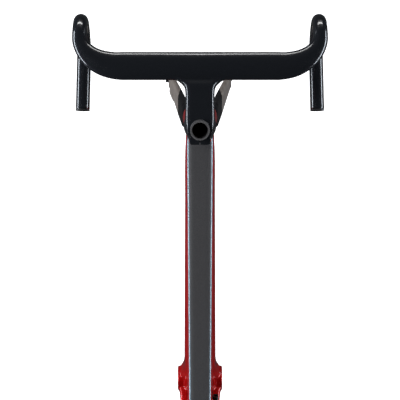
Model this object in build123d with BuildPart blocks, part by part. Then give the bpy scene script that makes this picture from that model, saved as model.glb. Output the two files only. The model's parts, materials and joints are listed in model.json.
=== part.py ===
from build123d import *
from math import cos, radians, sin
import os

# A road racing frameset: carbon frame, fork, one-piece drop bar and stem, seatpost and thru axles.
# Origin at the middle of the bottom-bracket shell, +X to the drive side, +Y to the front, +Z up.
# All sizes are in millimetres. A section is given as its width, depth and corner radius.

os.makedirs("parts", exist_ok=True)

# ---- frame geometry ----
stack = 552.0
reach = 388.0
head_angle = 73.0
head_length = 150.0
seat_angle = 73.5
seat_tube_length = 505.0
bracket_drop = 70.0
chainstay_length = 410.0

# ---- fork and hubs ----
fork_length = 370.0
fork_rake = 45.0
front_hub_width = 100.0
rear_hub_width = 142.0
axle_radius = 6.0
axle_bore = 3.5
axle_head_radius = 9.0
axle_head_length = 6.0
front_dropout_thickness = 11.0
rear_dropout_thickness = 9.0
dropout_radius = 16.0
crown_drop = 30.0
tyre_arch_radius = 20.5

# ---- steerer and headset ----
steerer_radius = 15.9
steerer_bore = 13.0
steerer_base_radius = 19.9
steerer_top = 236.0
upper_bearing_outer = 23.5
upper_bearing_bore = 17.0
lower_bearing_outer = 26.0
lower_bearing_bore = 20.0
bearing_width = 6.9
ball_radius = 1.6
ball_count = 24
race_thickness = 1.9
cover_height = 12.4
spacer_height = 5.0
spacer_count = 2
spacer_radius = 20.0

# ---- one-piece bar and stem ----
clamp_height = 40.0
clamp_wall = 5.2
clamp_rear = 25.6
stem_width = 42.0
bar_ahead = 99.0
bar_rise = 18.5
bar_chord = 45.5
bar_thickness = 20.0
bar_tube_radius = 12.0
bar_wall = 2.4
straight_half_width = 128.0
hood_half_width = 197.0
hood_ahead = 53.0
hood_fall = 5.6
hood_slope = 6.0
hook_radius = 36.0
belly_radius = 105.0
belly_turn = 38.0
heel_radius = 40.0
heel_turn = 47.0
drop_straight = 80.0
drop_flare = 0.02
bolt_radius = 2.5
bolt_head_radius = 4.25
bolt_head_length = 4.5

# ---- frame tubes ----
carbon_wall = 2.2
head_bottom_radius = 30.0
head_waist_radius = 26.0
head_top_radius = 27.0
down_tube_height = 62.0
top_tube_height = 120.0
top_tube_seat_height = 468.0
down_tube_front = (51.5, 54.0, 19.0)
down_tube_rear = (60.0, 56.0, 18.0)
top_tube_front = (48.0, 40.0, 12.0)
top_tube_rear = (40.0, 31.0, 10.0)
seat_tube_foot = (48.0, 45.0, 14.0)
seat_tube_middle = (33.0, 45.0, 14.0)
seat_tube_head = (40.0, 56.0, 15.0)
shell_width = 86.5
shell_radius = 24.0
shell_bore = 20.5
lug_length = 50.0
chainstay_end_height = 22.0
seatstay_end_depth = 18.0

# ---- seatpost and saddle clamp ----
post_depth = 37.0
post_width = 25.0
post_wall = 3.0
post_length = 340.0
post_insertion = 120.0
post_head_radius = 13.5
post_head_width = 32.0
rail_radius = 3.5
rail_spacing = 44.0
rail_height = 18.0
jaw_thickness = 6.0
jaw_length = 36.0
saddle_bolt_radius = 4.0

# ---- small parts ----
boss_pitch = 64.0
nut_radius = 3.6
nut_flange = 5.0
nut_lip = 1.2
nut_bore = 2.5
port_length = 14.0
port_width = 8.0
port_rim = 1.5
hose_radius = 2.6
wedge_width = 13.6
wedge_depth = 8.0
wedge_length = 26.0
brake_hole_radius = 2.6
front_brake_pitch = 70.0
rear_brake_pitch = 34.0
hanger_thickness = 6.0
hanger_hole_radius = 5.0

# ---- fits ----
running_fit = 0.08
slide_fit = 0.1
clamp_fit = 0.05
part_gap = 0.3

# ---- steering axis and the planes about it ----
head_cos = cos(radians(head_angle))
head_sin = sin(radians(head_angle))
axis_up = Vector(0, -head_cos, head_sin)
axis_ahead = Vector(0, head_sin, head_cos)
crown_point = Vector(0, reach + head_length * head_cos, stack - head_length * head_sin)
steering_axis = Axis(crown_point, axis_up)
radial_plane = Plane(origin=crown_point, x_dir=(1, 0, 0), z_dir=-axis_ahead)


def head_point(ahead, along, side=0):
    """A point given ahead of the steering axis, along it from the crown race, and to the side."""
    return crown_point + axis_ahead * ahead + axis_up * along + Vector(side, 0, 0)


def head_plane(along, ahead=0, side=0):
    """A plane square to the steering axis: local X to the drive side, local Y ahead."""
    return Plane(origin=head_point(ahead, along, side), x_dir=(1, 0, 0), z_dir=axis_up)


def fork_side_plane(side):
    """A plane square to X: local X ahead of the steering axis, local Y along it."""
    return Plane(origin=head_point(0, 0, side), x_dir=axis_ahead, z_dir=(1, 0, 0))


def tube_plane(start, direction, distance, side=0, lift=0):
    """A plane square to a tube in the bike's plane: local X to the drive side."""
    square = Plane(origin=start + direction * distance, x_dir=(1, 0, 0), z_dir=direction)
    return Plane(
        origin=square.origin + square.y_dir * lift + Vector(side, 0, 0),
        x_dir=(1, 0, 0),
        z_dir=direction,
    )


def blend(first, last, share):
    """A section part of the way from one section to another."""
    return tuple(a + (b - a) * share for a, b in zip(first, last))


def lofted(sections, wall=0):
    """A tube lofted through (plane, (width, depth, corner)) sections, hollow if it has a wall."""
    with BuildPart() as tube:
        for plane, (width, depth, corner) in sections:
            with BuildSketch(plane):
                RectangleRounded(width, depth, corner)
        loft()
        if wall:
            for plane, (width, depth, corner) in sections:
                with BuildSketch(plane):
                    RectangleRounded(width - 2 * wall, depth - 2 * wall, corner - wall)
            loft(mode=Mode.SUBTRACT)
    return tube.part


def turned(*points):
    """A ring turned about the steering axis from its (radius, height) profile."""
    with BuildPart() as ring:
        with BuildSketch(radial_plane):
            with BuildLine():
                Polyline(*points, close=True)
            make_face()
        revolve(axis=steering_axis)
    return ring.part


def save(part, name):
    part.label = name
    export_step(part, f"parts/{name}.step")


# ==== headset ====
seat_depth = bearing_width + 0.6
upper_seat = head_length - seat_depth
ball_fit = 0.05


def bearing(name, bore, outer, bottom):
    """A cartridge bearing: outer ring, inner ring and balls, one node each."""
    top = bottom + bearing_width
    pitch = (bore + outer) / 2
    height = (bottom + top) / 2
    rings = {"outer_ring": (outer - race_thickness, outer), "inner_ring": (bore, bore + race_thickness)}
    for ring_name, (inside, outside) in rings.items():
        with BuildPart() as ring:
            with BuildSketch(radial_plane):
                with BuildLine():
                    Polyline((inside, bottom), (outside, bottom), (outside, top), (inside, top), close=True)
                make_face()
                with Locations((pitch, height)):
                    Circle(ball_radius + ball_fit, mode=Mode.SUBTRACT)
            revolve(axis=steering_axis)
        save(ring.part, f"{name}_{ring_name}")
    with BuildPart() as balls:
        with Locations(head_plane(height)):
            with PolarLocations(pitch, ball_count):
                Sphere(ball_radius)
    save(balls.part, f"{name}_balls")


bearing("lower_bearing", lower_bearing_bore, lower_bearing_outer, seat_depth - bearing_width)
bearing("upper_bearing", upper_bearing_bore, upper_bearing_outer, upper_seat)

ring_foot = upper_seat + 3.5
ring_ledge = upper_seat + bearing_width
ring_shoulder = upper_bearing_bore + 1.6
ring_top = head_length + 2.2
ring_blank = turned(
    (steerer_radius + clamp_fit, ring_foot),
    (upper_bearing_bore - clamp_fit, ring_foot),
    (upper_bearing_bore - clamp_fit, ring_ledge),
    (ring_shoulder, ring_ledge + 1.6),
    (ring_shoulder, ring_top),
    (steerer_radius + clamp_fit, ring_top),
)
with BuildPart() as compression_ring:
    add(ring_blank)
    with Locations(head_plane(ring_foot, ahead=-upper_bearing_bore)):
        Box(1.5, 8, 30, mode=Mode.SUBTRACT)
save(compression_ring.part, "compression_ring")

cover_bottom = head_length + 0.6
cover_top = cover_bottom + cover_height
cover_bore = steerer_radius + slide_fit
cover = turned(
    (cover_bore, ring_top),
    (ring_shoulder + slide_fit, ring_top),
    (ring_shoulder + slide_fit, cover_bottom),
    (head_top_radius, cover_bottom),
    (head_top_radius, cover_bottom + 1.6),
    (spacer_radius + 0.5, cover_top),
    (cover_bore, cover_top),
)
save(cover, "headset_top_cover")

clamp_bottom = cover_top + spacer_count * spacer_height
with BuildPart() as headset_spacers:
    for index in range(spacer_count):
        with BuildSketch(head_plane(cover_top + index * spacer_height)):
            Circle(spacer_radius)
            Circle(cover_bore, mode=Mode.SUBTRACT)
        extrude(amount=spacer_height - 0.01)
save(headset_spacers.part, "headset_spacers")

crown_race = turned(
    (steerer_base_radius + clamp_fit, -1),
    (24, -1),
    (24, -0.2),
    (lower_bearing_bore + race_thickness, seat_depth - bearing_width),
    (steerer_base_radius + clamp_fit, seat_depth - bearing_width),
)
save(crown_race, "crown_race")

# ==== head tube ====
head_profile = [
    (head_bottom_radius, 0),
    (head_bottom_radius, 10),
    (head_waist_radius, 46),
    (head_waist_radius, head_length - 34),
    (head_top_radius, head_length - 10),
    (head_top_radius, head_length),
]
head_envelope = turned((0, 0), *head_profile, (0, head_length))
head_cavity = turned(
    (0, 0),
    (lower_bearing_outer, 0),
    (lower_bearing_outer, seat_depth),
    (steerer_base_radius + 3, seat_depth),
    (steerer_base_radius, upper_seat),
    (upper_bearing_outer, upper_seat),
    (upper_bearing_outer, head_length),
    (0, head_length),
)
with BuildPart() as head_tube:
    add(head_envelope)
    add(head_cavity, mode=Mode.SUBTRACT)
save(head_tube.part, "head_tube")

# ==== seat tube ====
bracket = Vector(0, 0, 0)
seat_direction = Vector(0, -cos(radians(seat_angle)), sin(radians(seat_angle)))
seat_head_lift = (seat_tube_head[1] - seat_tube_middle[1]) / 2
seat_neck = 130.0
seat_shoulder = 380.0
seat_knee = blend(seat_tube_foot, seat_tube_middle, 0.7)
seat_stations = [
    (tube_plane(bracket, seat_direction, lug_length), seat_tube_foot),
    (tube_plane(bracket, seat_direction, (lug_length + seat_neck) / 2), seat_knee),
    (tube_plane(bracket, seat_direction, seat_neck), seat_tube_middle),
    (tube_plane(bracket, seat_direction, seat_neck + 50), seat_tube_middle),
    (tube_plane(bracket, seat_direction, (seat_neck + seat_shoulder) / 2), seat_tube_middle),
    (tube_plane(bracket, seat_direction, seat_shoulder - 50), seat_tube_middle),
    (tube_plane(bracket, seat_direction, seat_shoulder), seat_tube_middle),
    (
        tube_plane(
            bracket, seat_direction, (seat_shoulder + seat_tube_length) / 2, lift=seat_head_lift * 0.6
        ),
        blend(seat_tube_middle, seat_tube_head, 0.6),
    ),
    (tube_plane(bracket, seat_direction, seat_tube_length, lift=seat_head_lift), seat_tube_head),
]
seat_envelope = lofted(seat_stations)
bore_bottom = lug_length + 20
wedge_front = post_depth / 2 + wedge_depth
wedge_middle = wedge_front - wedge_depth / 2
wedge_top = seat_tube_length - 7
wedge_root = wedge_top - wedge_length
pocket_bottom = wedge_root - part_gap
derailleur_height = 152.0
derailleur_plane = Plane(
    origin=seat_direction * derailleur_height + Vector(seat_tube_middle[0] / 2 + 0.6, 0, 0),
    x_dir=seat_direction,
    z_dir=(1, 0, 0),
)
rivet_pitch = 20.0
rivet_radius = 2.0
seat_boss_distance = 245.0


def boss_plane(direction, distance, half_depth):
    """The plane of a pair of bottle bosses on a tube's face: local X runs along the tube."""
    section = tube_plane(bracket, direction, distance)
    return Plane(origin=section.origin + section.y_dir * half_depth, x_dir=direction, z_dir=section.y_dir)


seat_boss_plane = boss_plane(seat_direction, seat_boss_distance, seat_tube_middle[1] / 2)


def boss_holes(plane):
    """The holes for two threaded inserts, with a flat round face for each flange."""
    with BuildPart() as holes:
        with Locations(plane):
            with GridLocations(boss_pitch, 0, 2, 1):
                Cylinder(nut_radius + slide_fit, 24)
                Cylinder(nut_flange + slide_fit, 8, align=(Align.CENTER, Align.CENTER, Align.MIN))
    return holes.part


with BuildPart() as seat_tube:
    add(seat_envelope)
    with BuildSketch(tube_plane(bracket, seat_direction, bore_bottom)):
        SlotOverall(post_depth + 2 * slide_fit, post_width + 2 * slide_fit, rotation=90)
    extrude(amount=seat_tube_length, mode=Mode.SUBTRACT)
    with BuildSketch(tube_plane(bracket, seat_direction, pocket_bottom, lift=wedge_middle - 2)):
        Rectangle(wedge_width + 2 * slide_fit, wedge_depth + 4 + 2 * slide_fit)
    extrude(amount=60, mode=Mode.SUBTRACT)
    with Locations(tube_plane(bracket, seat_direction, pocket_bottom, lift=wedge_middle)):
        Cylinder(bolt_radius, 24, mode=Mode.SUBTRACT)
    add(boss_holes(seat_boss_plane), mode=Mode.SUBTRACT)
    with Locations(derailleur_plane):
        with GridLocations(rivet_pitch, 0, 2, 1):
            Cylinder(rivet_radius + slide_fit, 16, mode=Mode.SUBTRACT)
save(seat_tube.part, "seat_tube")

# ==== seat clamp ====
wedge_plane = tube_plane(bracket, seat_direction, wedge_top, lift=wedge_middle)
with BuildPart() as seat_wedge:
    with BuildSketch(tube_plane(bracket, seat_direction, wedge_root, lift=wedge_middle - 2)):
        Rectangle(wedge_width, wedge_depth + 4)
    extrude(amount=wedge_length)
    with BuildSketch(tube_plane(bracket, seat_direction, wedge_root)):
        SlotOverall(post_depth + 2 * slide_fit, post_width + 2 * slide_fit, rotation=90)
    extrude(amount=wedge_length, mode=Mode.SUBTRACT)
    with Locations(wedge_plane):
        Cylinder(bolt_radius + slide_fit, 2 * wedge_length + 2, mode=Mode.SUBTRACT)
save(seat_wedge.part, "seat_clamp_wedge")

wedge_bolt_head = 3.0
wedge_bolt_head_radius = 3.7
wedge_bolt_reach = 9.0
with BuildPart() as seat_bolt:
    with Locations(wedge_plane):
        Cylinder(wedge_bolt_head_radius, wedge_bolt_head, align=(Align.CENTER, Align.CENTER, Align.MIN))
        Cylinder(bolt_radius, wedge_length + wedge_bolt_reach, align=(Align.CENTER, Align.CENTER, Align.MAX))
    with BuildSketch(wedge_plane.offset(wedge_bolt_head)):
        RegularPolygon(2.2, 6)
    extrude(amount=-2, mode=Mode.SUBTRACT)
save(seat_bolt.part, "seat_clamp_bolt")

with BuildPart() as seat_cover:
    with BuildSketch(wedge_plane.offset(wedge_bolt_head)):
        Rectangle(wedge_width - 2 * slide_fit, wedge_depth - 2 * slide_fit)
    extrude(amount=seat_tube_length - wedge_top - wedge_bolt_head)
    with BuildSketch(tube_plane(bracket, seat_direction, seat_tube_length, lift=wedge_middle + 1)):
        RectangleRounded(wedge_width + 4, wedge_depth + 3, 2.5)
    extrude(amount=1.6)
    with BuildSketch(tube_plane(bracket, seat_direction, wedge_top)):
        SlotOverall(post_depth + 4 * part_gap, post_width + 4 * part_gap, rotation=90)
    extrude(amount=20, mode=Mode.SUBTRACT)
save(seat_cover.part, "seat_clamp_cover")

# ==== down tube ====
down_end = head_point(0, down_tube_height)
down_length = down_end.length
down_direction = down_end / down_length
down_boss_distance = 255.0
port_distance = down_length - 95
down_neck = down_length - 70
down_tube_tip = (44.0, 50.0, 18.0)


def tapered_run(start, direction, near, far, first, last):
    """Evenly spaced stations of a tube that tapers evenly from one section to another."""
    run = []
    for share in (0, 0.2, 0.4, 0.6, 0.8, 1):
        plane = tube_plane(start, direction, near + (far - near) * share)
        run.append((plane, blend(first, last, share)))
    return run


down_stations = tapered_run(
    bracket, down_direction, lug_length, down_neck, down_tube_rear, down_tube_front
)
down_stations.append((tube_plane(bracket, down_direction, down_neck + 66), down_tube_tip))
down_loft = lofted(down_stations, carbon_wall)
down_boss_plane = boss_plane(down_direction, down_boss_distance, down_tube_rear[1] / 2)
port_half = down_tube_front[0] / 2
port_middle = down_direction * port_distance
port_planes = [
    Plane(port_middle + Vector(side * port_half, 0, 0), x_dir=down_direction, z_dir=(side, 0, 0))
    for side in (1, -1)
]
port_depth = 3.5
port_lip = 1.6
with BuildPart() as down_tube:
    add(down_loft)
    add(head_envelope, mode=Mode.SUBTRACT)
    add(boss_holes(down_boss_plane), mode=Mode.SUBTRACT)
    for plane in port_planes:
        with BuildSketch(plane):
            SlotOverall(port_length, port_width)
        extrude(amount=8, both=True, mode=Mode.SUBTRACT)
        with BuildSketch(plane):
            SlotOverall(port_length + 2 * port_rim, port_width + 2 * port_rim)
            offset(amount=slide_fit)
        extrude(amount=8, mode=Mode.SUBTRACT)
save(down_tube.part, "down_tube")

with BuildPart() as down_tube_ports:
    for plane in port_planes:
        with BuildSketch(plane):
            SlotOverall(port_length + 2 * port_rim, port_width + 2 * port_rim)
        extrude(amount=port_lip)
        with BuildSketch(plane.offset(-port_depth)):
            SlotOverall(port_length - 2 * slide_fit, port_width - 2 * slide_fit)
        extrude(amount=port_depth)
        with Locations(plane):
            Cylinder(hose_radius, 14, mode=Mode.SUBTRACT)
save(down_tube_ports.part, "down_tube_port_grommets")


def rivet_nuts(plane, name):
    """Two flanged threaded inserts for a bottle cage."""
    with BuildPart() as nuts:
        with Locations(plane):
            with GridLocations(boss_pitch, 0, 2, 1):
                Cylinder(nut_radius, 10, align=(Align.CENTER, Align.CENTER, Align.MAX))
                Cylinder(nut_flange, nut_lip, align=(Align.CENTER, Align.CENTER, Align.MIN))
                Cylinder(nut_bore, 30, mode=Mode.SUBTRACT)
    save(nuts.part, name)


rivet_nuts(down_boss_plane, "down_tube_bottle_nuts")
rivet_nuts(seat_boss_plane, "seat_tube_bottle_nuts")

# ==== top tube ====
top_start = head_point(0, top_tube_height)
top_end = seat_direction * top_tube_seat_height
top_length = (top_end - top_start).length
top_direction = (top_end - top_start) / top_length
top_tube_tip = (46.0, 38.0, 12.0)
top_tube_tail = (37.0, 29.0, 9.0)
top_neck = 36.0
top_tail = top_length - 40
top_run = tapered_run(top_start, top_direction, top_neck, top_tail, top_tube_front, top_tube_rear)
top_loft = lofted(
    [
        (tube_plane(top_start, top_direction, 5), top_tube_tip),
        *top_run,
        (tube_plane(top_start, top_direction, top_length - 6), top_tube_tail),
    ],
    carbon_wall,
)
with BuildPart() as top_tube:
    add(top_loft)
    add(head_envelope, mode=Mode.SUBTRACT)
    add(seat_envelope, mode=Mode.SUBTRACT)
save(top_tube.part, "top_tube")

# ==== rear triangle ====
rear_axle = Vector(0, -((chainstay_length**2 - bracket_drop**2) ** 0.5), bracket_drop)
rear_inner = rear_hub_width / 2
rear_outer = rear_inner + rear_dropout_thickness
rear_middle = (rear_inner + rear_outer) / 2
stay_start = Vector(0, -14, -3)
stay_end = rear_axle + Vector(0, 26, -10)
stay_direction = (stay_end - stay_start).normalized()
stay_length = (stay_end - stay_start).length
yoke_length = 32.0
yoke_section = (17, 38, 6)
seatstay_start = seat_direction * 398 + Vector(0, -6, 0)
seatstay_end = rear_axle + Vector(0, 7, 31)
seatstay_direction = (seatstay_end - seatstay_start).normalized()
seatstay_length = (seatstay_end - seatstay_start).length
dropout_section = (rear_dropout_thickness, chainstay_end_height, 4)
yoke_x = 29.5
flat_from = 0.78
flat_x = 61.5
chain_line = [
    (yoke_length, yoke_x, yoke_section),
    (0.27 * stay_length, 33.5, (15, 34, 6)),
    (0.52 * stay_length, 46, (13, 28, 5)),
    (flat_from * stay_length, flat_x, (11, 24, 5)),
    (stay_length, rear_middle, dropout_section),
]
seat_line = [
    (0, 10, (12, 24, 5)),
    (70, 25, (12, 20, 5)),
    (0.55 * seatstay_length, 51, (10, 17, 4.5)),
    (seatstay_length, rear_middle, (rear_dropout_thickness, seatstay_end_depth, 4)),
]


def stay_sections(start, direction, line, side):
    return [(tube_plane(start, direction, s, side=side * x), section) for s, x, section in line]


brake_centre = 0.87
brake_x = flat_x + (rear_middle - flat_x) * (brake_centre - flat_from) / (1 - flat_from)
for side, name in ((-1, "left"), (1, "right")):
    chainstay_loft = lofted(stay_sections(stay_start, stay_direction, chain_line, side))
    with BuildPart() as chainstay:
        add(chainstay_loft)
        if side < 0:
            brake_from = tube_plane(
                stay_start, stay_direction, brake_centre * stay_length, side=side * brake_x
            )
            spread = Vector(side * (rear_middle - flat_x), 0, 0)
            stay_line = (spread + stay_direction * (stay_length * (1 - flat_from))).normalized()
            brake_plane = Plane(brake_from.origin, x_dir=stay_line, z_dir=brake_from.y_dir)
            with Locations(brake_plane):
                with GridLocations(rear_brake_pitch, 0, 2, 1):
                    Cylinder(brake_hole_radius, 60, mode=Mode.SUBTRACT)
    save(chainstay.part, f"chainstay_{name}")

    seatstay_loft = lofted(stay_sections(seatstay_start, seatstay_direction, seat_line, side))
    with BuildPart() as seatstay:
        add(seatstay_loft)
        add(seat_envelope, mode=Mode.SUBTRACT)
    save(seatstay.part, f"seatstay_{name}")

chain_up = tube_plane(stay_end, stay_direction, 0).y_dir * (chainstay_end_height / 2)
seat_up = tube_plane(seatstay_end, seatstay_direction, 0).y_dir * (seatstay_end_depth / 2)
dropout_corners = [
    stay_end - chain_up,
    stay_end + chain_up,
    seatstay_end - seat_up,
    seatstay_end + seat_up,
    rear_axle + Vector(0, -dropout_radius, 2),
    rear_axle + Vector(0, -2, -dropout_radius),
]
hanger_eye = rear_axle + Vector(0, -8, -28)
hanger_screw = rear_axle + Vector(0, 9, 8)
hanger_screw_radius = 1.5
for side, name in ((-1, "left"), (1, "right")):
    with BuildPart() as dropout:
        with BuildSketch(Plane.YZ.offset(min(side * rear_inner, side * rear_outer))):
            with BuildLine():
                Polyline(*[(corner.Y, corner.Z) for corner in dropout_corners], close=True)
            make_face()
            with Locations((rear_axle.Y, rear_axle.Z)):
                Circle(dropout_radius)
                Circle(axle_radius + running_fit, mode=Mode.SUBTRACT)
            if side > 0:
                with Locations((hanger_screw.Y, hanger_screw.Z)):
                    Circle(hanger_screw_radius, mode=Mode.SUBTRACT)
        extrude(amount=rear_dropout_thickness)
    save(dropout.part, f"rear_dropout_{name}")

with BuildPart() as derailleur_hanger:
    with BuildSketch(Plane.YZ.offset(rear_outer)):
        with Locations((rear_axle.Y, rear_axle.Z)):
            Circle(13)
        with Locations((hanger_eye.Y, hanger_eye.Z)):
            Circle(9)
        with Locations((hanger_screw.Y, hanger_screw.Z)):
            Circle(5)
        make_hull()
        with Locations((rear_axle.Y, rear_axle.Z)):
            Circle(axle_radius + running_fit, mode=Mode.SUBTRACT)
        with Locations((hanger_eye.Y, hanger_eye.Z)):
            Circle(hanger_hole_radius, mode=Mode.SUBTRACT)
        with Locations((hanger_screw.Y, hanger_screw.Z)):
            Circle(hanger_screw_radius + slide_fit, mode=Mode.SUBTRACT)
    extrude(amount=hanger_thickness)
save(derailleur_hanger.part, "derailleur_hanger")

with BuildPart() as hanger_bolt:
    with BuildSketch(Plane.YZ.offset(rear_outer + hanger_thickness)):
        with Locations((hanger_screw.Y, hanger_screw.Z)):
            Circle(2.8)
    extrude(amount=1.8)
    with BuildSketch(Plane.YZ.offset(rear_inner + 1)):
        with Locations((hanger_screw.Y, hanger_screw.Z)):
            Circle(hanger_screw_radius)
    extrude(amount=rear_dropout_thickness - 1 + hanger_thickness)
    with BuildSketch(Plane.YZ.offset(rear_outer + hanger_thickness + 1.8)):
        with Locations((hanger_screw.Y, hanger_screw.Z)):
            RegularPolygon(1.3, 6)
    extrude(amount=-1.4, mode=Mode.SUBTRACT)
save(hanger_bolt.part, "hanger_screw")

# ==== bottom-bracket shell ====
with BuildPart() as shell_solid:
    with BuildSketch(Plane.YZ.offset(-shell_width / 2)):
        Circle(shell_radius)
    extrude(amount=shell_width)
down_lug = lofted(
    [
        (tube_plane(bracket, down_direction, 3), (83, 38, 14)),
        (tube_plane(bracket, down_direction, 18), (82, 43, 16)),
        (tube_plane(bracket, down_direction, 32), (66, 53, 18)),
        (tube_plane(bracket, down_direction, lug_length), down_tube_rear),
    ]
)
seat_lug = lofted(
    [
        (tube_plane(bracket, seat_direction, 3), (70, 36, 12)),
        (tube_plane(bracket, seat_direction, 26), (60, 42, 14)),
        (tube_plane(bracket, seat_direction, lug_length), seat_tube_foot),
    ]
)
yoke_line = [
    (-8, yoke_x - 0.5, (24, 38, 6)),
    (12, yoke_x, (21, 39, 6)),
    (yoke_length, yoke_x, yoke_section),
]
yokes = [lofted(stay_sections(stay_start, stay_direction, yoke_line, side)) for side in (-1, 1)]
pad_bottom = -shell_radius - 2.5
with BuildPart() as bracket_shell:
    add(shell_solid.part)
    add(down_lug)
    add(seat_lug)
    add(yokes)
    with BuildSketch(Plane.XY.offset(pad_bottom)):
        RectangleRounded(34, 30, 5)
    extrude(amount=10)
    with BuildSketch(Plane.YZ.offset(-shell_width / 2 - 1)):
        Circle(shell_bore)
    extrude(amount=shell_width + 2, mode=Mode.SUBTRACT)
    with Locations(Plane.XY.offset(pad_bottom)):
        Cylinder(1.5, 5, mode=Mode.SUBTRACT)
save(bracket_shell.part, "bottom_bracket_shell")

cable_cover_thickness = 2.4
with BuildPart() as cable_cover:
    with BuildSketch(Plane.XY.offset(pad_bottom - cable_cover_thickness)):
        RectangleRounded(30, 26, 4)
        Circle(1.7, mode=Mode.SUBTRACT)
    extrude(amount=cable_cover_thickness)
save(cable_cover.part, "cable_cover")
with BuildPart() as cable_cover_screw:
    with Locations(Plane.XY.offset(pad_bottom - cable_cover_thickness)):
        Cylinder(1.45, cable_cover_thickness + 2.4, align=(Align.CENTER, Align.CENTER, Align.MIN))
        Cylinder(2.8, 1.6, align=(Align.CENTER, Align.CENTER, Align.MAX))
    with BuildSketch(Plane.XY.offset(pad_bottom - cable_cover_thickness - 1.6)):
        RegularPolygon(1.3, 6)
    extrude(amount=1.2, mode=Mode.SUBTRACT)
save(cable_cover_screw.part, "cable_cover_screw")

# ==== front derailleur mount ====
arm_reach = 14.0
arm_height = 24.0
arm_thickness = 7.0
derailleur_slot = 16.0
with BuildPart() as derailleur_mount:
    with BuildSketch(derailleur_plane):
        RectangleRounded(arm_height + 8, 14, 5)
        with GridLocations(rivet_pitch, 0, 2, 1):
            Circle(rivet_radius + slide_fit, mode=Mode.SUBTRACT)
    extrude(amount=3)
    arm_plane = Plane(origin=derailleur_plane.origin, x_dir=(1, 0, 0), z_dir=seat_direction)
    with BuildSketch(arm_plane.offset(-4)):
        with Locations((arm_reach / 2 + 1.5, 0)):
            RectangleRounded(arm_reach + 3, arm_thickness, 3)
    extrude(amount=8)
    eye_plane = Plane(
        origin=derailleur_plane.origin + Vector(arm_reach - 2, 0, 0) - arm_plane.y_dir * (arm_thickness / 2),
        x_dir=seat_direction,
        z_dir=arm_plane.y_dir,
    )
    with BuildSketch(eye_plane):
        RectangleRounded(arm_height, 10, 4.5)
    extrude(amount=arm_thickness)
    with BuildSketch(eye_plane):
        SlotOverall(derailleur_slot, 5.2)
    extrude(amount=arm_thickness, mode=Mode.SUBTRACT)
save(derailleur_mount.part, "front_derailleur_mount")
with BuildPart() as derailleur_rivets:
    with Locations(derailleur_plane):
        with GridLocations(rivet_pitch, 0, 2, 1):
            Cylinder(rivet_radius, 7, align=(Align.CENTER, Align.CENTER, Align.CENTER))
    with Locations(derailleur_plane.offset(3)):
        with GridLocations(rivet_pitch, 0, 2, 1):
            Cylinder(3.2, 1.2, align=(Align.CENTER, Align.CENTER, Align.MIN))
save(derailleur_rivets.part, "front_derailleur_rivets")

# ==== fork ====
steerer_foot = -14.0
steerer_tube = turned(
    (steerer_bore, steerer_foot),
    (steerer_base_radius, steerer_foot),
    (steerer_base_radius, 12),
    (steerer_radius, 62),
    (steerer_radius, steerer_top),
    (steerer_bore, steerer_top),
)
save(steerer_tube, "steerer_tube")

axle_along = -((fork_length**2 - fork_rake**2) ** 0.5)
front_inner = front_hub_width / 2
front_outer = front_inner + front_dropout_thickness
front_middle = (front_inner + front_outer) / 2
leg_top_x = 25.6
leg_end = axle_along + 32
leg_start_ahead = 1.0


def leg_ahead(along):
    """How far the leg's middle line stands ahead of the steering axis."""
    share = (along + crown_drop) / (axle_along + crown_drop)
    return leg_start_ahead + (fork_rake - leg_start_ahead) * share


crown_loft = lofted(
    [
        (head_plane(-1), (58, 58, 28.5)),
        (head_plane(-13, ahead=0.5), (63, 54, 22)),
        (head_plane(-crown_drop, ahead=leg_start_ahead), (2 * leg_top_x + 13.5, 46, 10)),
    ]
)
arch_height = -38.0
with BuildPart() as fork_crown:
    add(crown_loft)
    with BuildSketch(radial_plane.offset(-60)):
        with Locations((0, arch_height)):
            Circle(tyre_arch_radius)
    extrude(amount=120, mode=Mode.SUBTRACT)
    with BuildSketch(head_plane(steerer_foot)):
        Circle(steerer_base_radius)
    extrude(amount=30, mode=Mode.SUBTRACT)
save(fork_crown.part, "fork_crown")

leg_line = [
    (-crown_drop, leg_top_x, (13.5, 44, 6)),
    (-110, 33.2, (14, 40, 6)),
    (-220, 43.8, (13, 33, 6)),
    (leg_end, front_middle, (front_dropout_thickness, 25, 5)),
]
pad_along = -268.0
pad_x = 49.5
pad_height = 18.0
leg_lean = (head_point(leg_ahead(-300), -300) - head_point(leg_ahead(-100), -100)).normalized()
pad_normal = Vector(0, leg_lean.Z, -leg_lean.Y)
for side, name in ((-1, "left"), (1, "right")):
    leg_stations = []
    for along, x, section in leg_line:
        leg_stations.append((head_plane(along, ahead=leg_ahead(along), side=side * x), section))
    leg_loft = lofted(leg_stations)
    with BuildPart() as leg:
        add(leg_loft)
        if side < 0:
            pad_plane = Plane(
                origin=head_point(leg_ahead(pad_along), pad_along, side * pad_x) + pad_normal * pad_height,
                x_dir=leg_lean,
                z_dir=pad_normal,
            )
            with BuildSketch(pad_plane):
                RectangleRounded(front_brake_pitch + 16, 14, 6)
            extrude(amount=-10)
            with Locations(pad_plane):
                with GridLocations(front_brake_pitch, 0, 2, 1):
                    Cylinder(brake_hole_radius, 28, mode=Mode.SUBTRACT)
    save(leg.part, f"fork_leg_{name}")

    with BuildPart() as tip:
        with BuildSketch(fork_side_plane(min(side * front_inner, side * front_outer))):
            with BuildLine():
                Polyline(
                    (leg_ahead(leg_end) - 12.5, leg_end),
                    (leg_ahead(leg_end) + 12.5, leg_end),
                    (fork_rake + dropout_radius, axle_along),
                    (fork_rake - dropout_radius, axle_along),
                    close=True,
                )
            make_face()
            with Locations((fork_rake, axle_along)):
                Circle(dropout_radius)
                Circle(axle_radius + running_fit, mode=Mode.SUBTRACT)
        extrude(amount=front_dropout_thickness)
    save(tip.part, f"fork_dropout_{name}")

front_axle = head_point(fork_rake, axle_along)


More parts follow.
